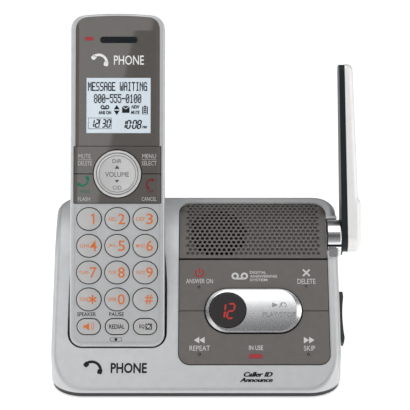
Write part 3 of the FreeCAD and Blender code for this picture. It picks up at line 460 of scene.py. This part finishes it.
DOTS = {
    "M": "10001 11011 10101 10101 10001 10001 10001",
    "E": "11111 10000 10000 11110 10000 10000 11111",
    "S": "01111 10000 10000 01110 00001 00001 11110",
    "A": "01110 10001 10001 11111 10001 10001 10001",
    "G": "01110 10001 10000 10111 10001 10001 01111",
    "W": "10001 10001 10001 10101 10101 10101 01010",
    "I": "01110 00100 00100 00100 00100 00100 01110",
    "T": "11111 00100 00100 00100 00100 00100 00100",
    "N": "10001 11001 10101 10011 10001 10001 10001",
    "0": "01110 10001 10011 10101 11001 10001 01110",
    "1": "00100 01100 00100 00100 00100 00100 01110",
    "5": "11111 10000 11110 00001 00001 10001 01110",
    "8": "01110 10001 10001 01110 10001 10001 01110",
    "-": "00000 00000 00000 11111 00000 00000 00000",
    " ": "00000 00000 00000 00000 00000 00000 00000",
}


def segment_digit(digit, x, u, width, height, stroke, slant=0.12, gap=0.0):
    """Seven-segment digit with its lower left corner at (x, u)."""
    half = height / 2
    lines = {
        "a": (gap, height, width - gap, height),
        "b": (width, half + gap, width, height - gap),
        "c": (width, gap, width, half - gap),
        "d": (gap, 0, width - gap, 0),
        "e": (0, gap, 0, half - gap),
        "f": (0, half + gap, 0, height - gap),
        "g": (gap, half, width - gap, half),
    }
    drawing = []
    for name in SEGMENTS[digit]:
        x0, u0, x1, u1 = lines[name]
        run = Vector((x1 - x0, u1 - u0)).normalized() * (stroke / 2)
        side = Vector((-run.y, run.x))
        a, b = Vector((x0, u0)), Vector((x1, u1))
        outline = (a, a + run - side, b - run - side, b, b - run + side, a + run + side)
        drawing += shape(*((x + p.x + slant * p.y, u + p.y) for p in outline))
    return drawing


def dot_line(text, x0, x1, u0, u1):
    """A line of five by seven dot characters fitted to a box."""
    pitch = (x1 - x0) / (6 * len(text) - 1)
    rise = (u1 - u0) / 7
    drawing = []
    for place, letter in enumerate(text):
        for row, cells in enumerate(DOTS[letter].split()):
            for column, cell in enumerate(cells):
                if cell == "1":
                    x, u = x0 + (6 * place + column) * pitch, u1 - (row + 1) * rise
                    drawing += block(x - 0.25 * pitch, x + 1.25 * pitch, u, u + rise)
    return drawing


# ---------------------------------------------------------------- legends of the base

BOLD = 0.16               # heavy words are printed again this far to each side


def base_legends():
    upper, lower = "upper_key_plate", "lower_key_plate"
    print_on("legend_power", "upper_plate", panel, upper, power_icon(1.7, 20.3), INKS["red"])
    top_white = words("ANSWER ON", -5.2, 8.6, 14.7, 17.1)
    top_white += tape_icon(18.1, 26.6, 16.75, 20.5, 0.95)
    top_white += cross_icon(56.6, 20.4, 1.75, 0.85)
    top_white += words("DELETE", 51.95, 61.2, 14.4, 17.1)
    print_on("legend_upper_plate", "upper_plate", panel, upper, top_white, INKS["label"])
    small = words("DIGITAL", 27.6, 36.0, 19.9, 21.3, 0.01)
    small += words("ANSWERING", 27.6, 41.5, 17.8, 19.2, 0.01)
    small += words("SYSTEM", 27.6, 36.5, 15.8, 17.2, 0.01)
    print_on("legend_system", "upper_plate", panel, upper, small, INKS["label"])
    dots = ring(1.4, 12.7, 0.55, 0.32, steps=12) + ring(56.3, 13.2, 0.55, 0.32, steps=12)
    print_on("legend_upper_marks", "upper_plate", panel, upper, dots, INKS["dark"])
    low_white = arrows_icon(-1.1, 4.3, -15.4, 1.7, -1) + arrows_icon(54.5, 59.9, -15.4, 1.7, 1)
    low_white += words("REPEAT", -3.3, 7.0, -20.9, -18.3)
    low_white += words("SKIP", 54.4, 60.1, -20.9, -18.3)
    low_white += words("IN USE", 26.7, 33.8, -20.6, -18.2, 0.008)
    print_on("legend_lower_plate", "lower_plate", panel, lower, low_white, INKS["label"])
    dots = ring(1.7, -22.8, 0.62, 0.36, steps=12) + ring(56.7, -22.8, 0.62, 0.36, steps=12)
    print_on("legend_lower_marks", "lower_plate", panel, lower, dots, INKS["dark"])
    notice = words("Caller ID", 24.0, 38.4, -34.4, -31.9, 0.02, 0.35)
    notice += words("Announce", 22.0, 38.4, -37.1, -34.9, 0.02, 0.35)
    shell = notice + moved(notice, BOLD) + moved(notice, -BOLD)
    shell += moved(receiver_icon(9.5), -51.4, -29.2, -28.0)
    shell += words("PHONE", -42.9, -24.7, -32.6, -27.2, 0.03)
    print_on("legend_base_shell", "base", panel, "base_top_shell", shell, INKS["dark"])


def button_marks():
    """Raised play and stop sign with its words, in a metal darker than the button's: painted shade of the raised
    marks.
    """
    sign = shape((38.7, 1.3), (41.6, 2.6), (38.7, 3.9))
    sign += ring(44.6, 2.6, 1.25, 0.35, -60, 240, 12) + bar(42.3, 1.2, 43.5, 4.0, 0.35)
    sign += words("PLAY/STOP", 33.9, 50.6, -3.7, -1.2, 0.004)
    print_on("play_stop_sign", "play_button", panel, "play_stop_button", sign, INKS["metal"],
             EMBOSSED, True)


def message_digits():
    digits = segment_digit("1", 11.2, -4.3, 3.0, 7.6, 0.95, gap=0.15)
    digits += segment_digit("2", 15.6, -4.3, 3.2, 7.6, 0.95, gap=0.15)
    print_on("message_digits", "base", panel, "message_window", digits, INKS["lit"], FLUSH)


# ---------------------------------------------------------------- legends of the handset

KEY_LETTERS = {"2": "ABC", "3": "DEF", "4": "GHI", "5": "JKL", "6": "MNO", "7": "PQRS",
               "8": "TUV", "9": "WXYZ", "star": "TONE", "0": "OPER"}
DIAL_KEYS = ("1", "2", "3", "4", "5", "6", "7", "8", "9", "star", "0", "hash")


def dial_legends():
    for name in DIAL_KEYS:
        node = "dial_key_" + name
        x, u = hand.middle(node)
        body = "key_" + name
        if name == "star":
            figure = []
            for turn in (30, 90, 150):
                figure += moved(bar(-2.2, 0, 2.2, 0, 0.75), x + 1.9, u, turn)
        elif name == "hash":
            figure = []
            for away in (-0.75, 0.75):
                figure += bar(x + 1.5 + away, u - 2.4, x + 2.2 + away, u + 2.4, 0.6)
                figure += bar(x - 0.2, u + away * 1.1, x + 3.9, u + away * 1.1, 0.6)
        elif name == "1":
            figure = block(x + 1.9, x + 2.75, u - 2.65, u + 2.65)
            figure += shape((x + 0.9, u + 1.2), (x + 1.9, u + 1.75), (x + 1.9, u + 2.65),
                            (x + 0.9, u + 1.95))
        else:
            figure = words(name, x + 0.45, x + 3.95, u - 2.65, u + 2.65, 0.006)
        print_on("digit_" + name, body, hand, node, figure, INKS["orange"], curved=True)
        if name in KEY_LETTERS:
            letters = words(KEY_LETTERS[name], x - 4.7, x - 0.1, u - 0.95, u + 0.95, 0.015)
            print_on("letters_" + name, body, hand, node, letters, INKS["apricot"], curved=True)


MOUTHPIECE = (-0.5, 3.9)  # middle of the slot over the microphone


def function_legends():
    x, u = hand.middle("speaker_key")
    sign = speaker_icon(x, u)
    print_on("speaker_sign", "speaker_key_cap", hand, "speaker_key", sign, INKS["orange"])
    x, u = hand.middle("redial_key")
    name = words("REDIAL", x - 3.95, x + 3.95, u - 1.1, u + 1.1, 0.015)
    print_on("redial_word", "redial_key_cap", hand, "redial_key", name, INKS["dark"])
    x, u = hand.middle("eq_key")
    name = words("EQ", x - 2.9, x - 0.3, u - 1.1, u + 1.1, 0.015)
    print_on("eq_word", "eq_key_cap", hand, "eq_key", name, INKS["dark"])
    square = block(x + 0.2, x + 3.4, u - 1.5, u + 1.5)
    print_on("eq_square", "eq_key_cap", hand, "eq_key", square, INKS["dark"])
    waves = bar(x + 0.8, u - 0.9, x + 2.6, u + 0.9, 0.28)
    waves += ring(x + 2.4, u - 0.5, 0.45, 0.25, steps=10)
    waves += ring(x + 1.2, u + 0.5, 0.45, 0.25, steps=10)
    print_on("eq_curve", "eq_key_cap", hand, "eq_key", waves, INKS["white"], OVER_PRINT)
    names = words("SPEAKER", -20.2, -10.6, 15.6, 17.6, 0.012)
    names += words("PAUSE", -4.0, 3.5, 15.6, 17.6, 0.012)
    print_on("legend_handset_face", "handset", hand, "handset_front_frame", names, INKS["dark"])
    x, u = MOUTHPIECE
    # painted shade: a dark outline at the edge of the slot's recess and a dark dot for the hole to the microphone
    mouth_shade = ring(x - 2.1, u, 1.0, 0.22, 90, 270, 12) + ring(x + 2.1, u, 1.0, 0.22, -90, 90, 12)
    mouth_shade += bar(x - 2.1, u + 1.0, x + 2.1, u + 1.0, 0.22)
    mouth_shade += bar(x - 2.1, u - 1.0, x + 2.1, u - 1.0, 0.22)
    mouth_shade += dot(x, u, 0.75)
    print_on("mouthpiece_shade", "handset", hand, "handset_front_frame", mouth_shade, INKS["dark"], FAINT)


def navigation_legends():
    marks = words("DIR", -2.5, 2.1, 93.2, 95.2) + triangle(-0.2, 90.3, 1.3, 1.9)
    marks += words("VOLUME", -6.2, 5.9, 86.2, 88.7) + triangle(-0.2, 84.7, 1.1, -1.6)
    marks += words("CID", -2.4, 2.1, 79.7, 81.7)
    print_on("legend_navigation", "nav_key", hand, "navigation_key", marks, INKS["grey"],
             curved=True)
    x, u = hand.middle("navigation_key")
    # painted shade: two dark rings where the step between the key's rim and its dish lies in shadow
    lines = ring(x, u, 10.55, 0.36, steps=72) + ring(x, u, 9.25, 0.2, steps=72)
    print_on("navigation_step_shade", "nav_key", hand, "navigation_key", lines, INKS["grey"])


def soft_key_legends():
    upper, lower = "upper_soft_keys", "lower_soft_keys"
    marks = words("MUTE", -19.8, -13.6, 95.6, 97.8) + words("DELETE", -19.9, -12.9, 92.0, 94.2)
    marks += block(-20.0, -12.9, 94.8, 95.0)
    marks += words("MENU", 12.6, 19.6, 95.6, 97.8) + words("SELECT", 12.4, 19.9, 92.0, 94.2)
    marks += block(12.4, 19.9, 94.8, 95.0)
    print_on("legend_upper_soft_keys", "upper_soft", hand, upper, marks, INKS["pale"])
    marks = words("FLASH", -19.9, -13.8, 73.9, 75.9) + words("CANCEL", 12.4, 19.9, 73.9, 75.9)
    print_on("legend_lower_soft_keys", "lower_soft", hand, lower, marks, INKS["pale"])
    talk = moved(receiver_icon(6.6), -17.0, 83.6, -140.0)
    talk += words("PHONE", -18.6, -14.0, 78.0, 79.5)
    print_on("talk_sign", "lower_soft", hand, lower, talk, INKS["green"])
    end = moved(receiver_icon(5.6), 16.4, 82.8, 60.0)
    end += words("OFF", 15.0, 18.4, 78.0, 79.5)
    print_on("end_sign", "lower_soft", hand, lower, end, INKS["maroon"])


def lens_legends():
    marks = moved(receiver_icon(8.6), -8.7, 146.2, -28.0)
    marks += words("PHONE", -1.9, 13.4, 143.4, 148.2, 0.006)
    print_on("legend_lens", "handset", hand, "display_lens", marks, INKS["white"])


def display_legends():
    left, right = hand.span("lcd_module")[0][0], hand.span("lcd_module")[1][0]
    x0 = (left + right) / 2 - 0.5
    marks = dot_line("MESSAGE WAITING", x0 - 15.0, x0 + 15.0, 130.0, 134.6)
    marks += dot_line("800-555-0100", x0 - 12.0, x0 + 12.0, 123.8, 128.4)
    marks += tape_icon(-8.7, -4.1, 120.6, 122.8, 0.62)
    marks += words("ANS ON", -9.7, -3.2, 118.0, 119.9, 0.05)
    marks += triangle(-0.4, 120.6, 1.5, 2.3) + triangle(-0.4, 120.0, 1.5, -2.3)
    marks += shape((2.3, 118.8), (6.1, 118.8), (6.1, 122.0), (4.2, 120.6), (2.3, 122.0))
    marks += shape((2.5, 122.3), (4.2, 121.0), (5.9, 122.3))
    marks += words("NEW", 7.0, 11.3, 120.9, 122.8, 0.04, 0.2)
    marks += words("MUTE", 6.8, 11.3, 118.1, 119.9, 0.04, 0.2)
    for side in (12.8, 15.2):
        marks += bar(side, 118.2, side, 121.9, 0.5)
    marks += bar(12.66, 118.2, 15.34, 118.2, 0.28) + bar(12.66, 121.9, 15.34, 121.9, 0.28)
    marks += block(13.5, 14.5, 122.0, 122.5)
    for level in (118.8, 119.8, 120.8):
        marks += block(13.3, 14.7, level, level + 0.7)
    box = (-14.8, -3.1, 110.7, 116.2)
    for line in ((box[0], box[2], box[1], box[2]), (box[0], box[3], box[1], box[3]),
                 (box[0], box[2], box[0], box[3]), (box[1], box[2], box[1], box[3])):
        marks += bar(*line, 0.2)
    for digit, x in (("1", -13.8), ("2", -11.4), ("3", -7.9), ("0", -5.5)):
        marks += segment_digit(digit, x, 111.5, 1.5, 3.8, 0.66, 0.15)
    marks += bar(-9.6, 111.1, -8.8, 115.8, 0.45)
    for digit, x in (("1", 2.2), ("0", 4.6), ("0", 7.6), ("8", 10.0)):
        marks += segment_digit(digit, x, 110.9, 1.6, 4.0, 0.7, 0.15)
    marks += block(6.8, 7.2, 111.8, 112.3) + block(7.0, 7.4, 113.6, 114.1)
    marks += words("PM", 12.6, 15.0, 110.8, 112.2, 0.04, 0.2)
    print_on("display_segments", "handset", hand, "lcd_module", marks, INKS["segment"], FLUSH)


# ---------------------------------------------------------------- perforated loudspeaker grille

CROWN_RADIUS = 63.0       # curve over the top of the base
CROWN_START = 29.8        # above the split, where the flat face turns into the crown
GRILLE_SINK = 0.35        # the grille's face lies this far below the shell
HOLE_PITCH = 2.5
ROW_PITCH = 2.165
HOLE_R = 0.9
HOLE_ROWS = 16
HOLE_COLUMNS = 28
SPEAKER_X = 11.3
SPEAKER_UP = 43.6         # arc length from the split to the loudspeaker's middle
SPEAKER_R = 14.5
HOLE_SIDES = 14
FIRST_ROW = 2.6           # from the grille's lower edge to its first row of holes
# each hole's wall as (radius, depth below the grille's face)
HOLE_MOUTH = [(HOLE_R + 0.16, -0.12), (HOLE_R + 0.06, 0.02), (HOLE_R, 0.1)]
HOLE_THROUGH = [(HOLE_R, 4.0)]
HOLE_DIMPLE = [(HOLE_R, 0.85), (HOLE_R * 0.7, 1.0), (HOLE_R * 0.3, 1.06)]
WELD = 0.000002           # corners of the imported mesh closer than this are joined, in metres


def crown(x, u, depth):
    """A point at a depth below the shell's outer surface, u being measured along that surface."""
    if u < CROWN_START:
        return panel.point(x, u, -depth)
    turn = (u - CROWN_START) / CROWN_RADIUS
    r = CROWN_RADIUS - depth
    return panel.point(x, CROWN_START + r * math.sin(turn), r * math.cos(turn) - CROWN_RADIUS)


def hole_cutter(x, u, through):
    """A turned plug with a flared mouth, which ends in a shallow dome or goes right through."""
    profile = HOLE_MOUTH + (HOLE_THROUGH if through else HOLE_DIMPLE)
    points, faces = [], []
    for r, depth in profile:
        for i in range(HOLE_SIDES):
            a = 2 * math.pi * i / HOLE_SIDES
            points.append(crown(x + r * math.cos(a), u + r * math.sin(a), GRILLE_SINK + depth))
    for k in range(len(profile) - 1):
        for i in range(HOLE_SIDES):
            a, b = k * HOLE_SIDES + i, k * HOLE_SIDES + (i + 1) % HOLE_SIDES
            faces.append((a, a + HOLE_SIDES, b + HOLE_SIDES, b))
    faces.append(tuple(range(HOLE_SIDES)))
    faces.append(tuple(reversed(range(len(points) - HOLE_SIDES, len(points)))))
    return points, faces


def perforated_grille():
    """A copy of the CAD grille with its holes cut, which replaces it."""
    source = nodes["speaker_grille"]
    low, high = panel.span("speaker_grille")
    mesh = source.data.copy()
    shaped = bmesh.new()
    shaped.from_mesh(mesh)
    bmesh.ops.remove_doubles(shaped, verts=shaped.verts, dist=WELD)
    shaped.to_mesh(mesh)
    shaped.free()
    grille = bpy.data.objects.new("perforated_grille", mesh)
    bpy.context.scene.collection.objects.link(grille)
    middle = (low[0] + high[0]) / 2
    first = low[1] + FIRST_ROW
    points, faces = [], []
    for row in range(HOLE_ROWS):
        count = HOLE_COLUMNS - row % 2
        if row == HOLE_ROWS - 1:
            count -= 2
        for column in range(count):
            x = middle + (column - (count - 1) / 2) * HOLE_PITCH
            u = first + row * ROW_PITCH
            near = math.hypot(x - SPEAKER_X, u - SPEAKER_UP) < SPEAKER_R
            plug, sides = hole_cutter(x, u, near)
            faces += [tuple(len(points) + i for i in side) for side in sides]
            points += plug
    cutter = add_mesh("hole_cutter", points, faces, PAINTS["taupe_plastic"], "base")
    cut = grille.modifiers.new("holes", "BOOLEAN")
    cut.operation = "DIFFERENCE"
    cut.solver = "EXACT"
    cut.object = cutter
    bpy.context.view_layer.update()
    shown = grille.evaluated_get(bpy.context.evaluated_depsgraph_get())
    result = bpy.data.meshes.new_from_object(shown)
    grille.modifiers.clear()
    grille.data = result
    bpy.data.objects.remove(cutter)
    result.materials.clear()
    result.materials.append(PAINTS["taupe_plastic"])
    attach(grille, "base")
    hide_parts("speaker_grille")


# ---------------------------------------------------------------- floor, light and camera

CAMERA_AT = Vector((0.0045, -0.700, 0.3687))
CAMERA_DROP = math.radians(22.0)
CAMERA_LENS = 130.4
CAMERA_CLIP = (0.01, 20)
STRAIGHT_DOWN = 0.999


def look_along(thing, direction):
    """Turned to face a direction, upright; if that is straight down, with its top to the back."""
    thing.rotation_mode = "QUATERNION"
    tilted = abs(direction.normalized().z) < STRAIGHT_DOWN
    thing.rotation_quaternion = direction.to_track_quat("-Z", "Y") if tilted else Quaternion()


def make_camera():
    data = bpy.data.cameras.new("camera")
    data.lens = CAMERA_LENS
    data.clip_start, data.clip_end = CAMERA_CLIP
    camera = bpy.data.objects.new("camera", data)
    bpy.context.scene.collection.objects.link(camera)
    camera.location = CAMERA_AT
    look_along(camera, Vector((0, math.cos(CAMERA_DROP), -math.sin(CAMERA_DROP))))
    bpy.context.scene.camera = camera


def softbox(name, at, towards, width, height, radiance):
    """Rectangular light; radiance is the brightness of its face."""
    data = bpy.data.lights.new(name, "AREA")
    data.shape = "RECTANGLE"
    data.size, data.size_y = width, height
    data.energy = radiance * math.pi * width * height
    lamp = bpy.data.objects.new(name, data)
    bpy.context.scene.collection.objects.link(lamp)
    lamp.location = at
    look_along(lamp, Vector(towards) - Vector(at))
    return lamp


# the key light's right edge where the display lens mirrors it, as (x, u) at its top and bottom
GLARE_EDGE = ((9.9, 168.0), (-10.0, 73.0))
LENS_U, LENS_FACE = 135, 0.5
KEY_AWAY = 0.95
KEY_WIDTH, KEY_HEIGHT = 0.75, 1.1
KEY_RADIANCE = 0.85


def key_light():
    """Large card to the left, above the camera, its right edge seen across the display lens."""
    lens = hand.point(0, LENS_U, LENS_FACE)
    image = CAMERA_AT - 2 * (CAMERA_AT - lens).dot(hand.out) * hand.out
    facing = (lens - image).normalized()
    centre = lens + KEY_AWAY * facing
    ends = []
    for x, u in GLARE_EDGE:
        ray = hand.point(x, u, LENS_FACE) - image
        ends.append(image + ray * ((centre - image).dot(facing) / ray.dot(facing)))
    along = (ends[0] - ends[1]).normalized()
    side = along.cross(facing)
    left = side if side.x < 0 else -side
    at = (ends[0] + ends[1]) / 2 + left * (KEY_WIDTH / 2)
    card = softbox("key_card", at, lens, KEY_WIDTH, KEY_HEIGHT, KEY_RADIANCE)
    card.rotation_quaternion = Matrix((side, along, facing)).transposed().to_quaternion()


FLOOR_HALF = 6.0


def make_floor():
    size = FLOOR_HALF
    material = mottled("floor", (0.93, 0.93, 0.93), 0.75, spread=0.005, size=0.3, grain=0.0,
                       glow=0.65)
    mesh = bpy.data.meshes.new("floor")
    corners = [(-size, -size, 0), (size, -size, 0), (size, size, 0), (-size, size, 0)]
    mesh.from_pydata(corners, [], [(0, 1, 2, 3)])
    mesh.materials.append(material)
    floor = bpy.data.objects.new("floor", mesh)
    bpy.context.scene.collection.objects.link(floor)


# brightness of the surroundings by height: 0 is straight down, 0.5 the horizon, 1 straight up
STUDIO = ((0.0, 0.5), (0.5, 0.5), (0.57, 0.42), (0.80, 0.10), (0.86, 0.13), (0.94, 0.5),
          (1.0, 0.8))
STUDIO_TINT = (0.97, 0.985, 1)


def make_studio():
    world = bpy.data.worlds.new("studio")
    world.use_nodes = True
    tree = world.node_tree
    where = tree.nodes.new("ShaderNodeTexCoord")
    parts = tree.nodes.new("ShaderNodeSeparateXYZ")
    height = tree.nodes.new("ShaderNodeMapRange")
    height.inputs["From Min"].default_value = -1.0
    ramp = tree.nodes.new("ShaderNodeValToRGB")
    for position, _ in STUDIO[1:-1]:
        ramp.color_ramp.elements.new(position)
    for element, (position, level) in zip(ramp.color_ramp.elements, STUDIO):
        element.position = position
        element.color = (*(tint * level for tint in STUDIO_TINT), 1)
    tree.links.new(where.outputs["Generated"], parts.inputs["Vector"])
    tree.links.new(parts.outputs["Z"], height.inputs["Value"])
    tree.links.new(height.outputs["Result"], ramp.inputs["Fac"])
    tree.links.new(ramp.outputs["Color"], tree.nodes["Background"].inputs["Color"])
    bpy.context.scene.world = world


# name, place, target, width, height and radiance
SOFTBOXES = (
    ("top_box", (0.0, -0.14, 1.0), (0.0, -0.14, 0.0), 1.0, 0.62, 1.4),
    ("right_strip", (0.75, -0.25, 0.35), (0.0, 0.0, 0.1), 0.25, 0.8, 3.1),
    ("left_strip", (-0.85, 0.0, 0.35), (0.0, 0.0, 0.1), 0.25, 0.8, 2.4),
)


def make_lights():
    key_light()
    for box in SOFTBOXES:
        softbox(*box)
    make_studio()
    bpy.context.scene.view_settings.view_transform = "Standard"


make_camera()
make_lights()
make_floor()
base_legends()
button_marks()
message_digits()
dial_legends()
function_legends()
navigation_legends()
soft_key_legends()
lens_legends()
display_legends()
perforated_grille()
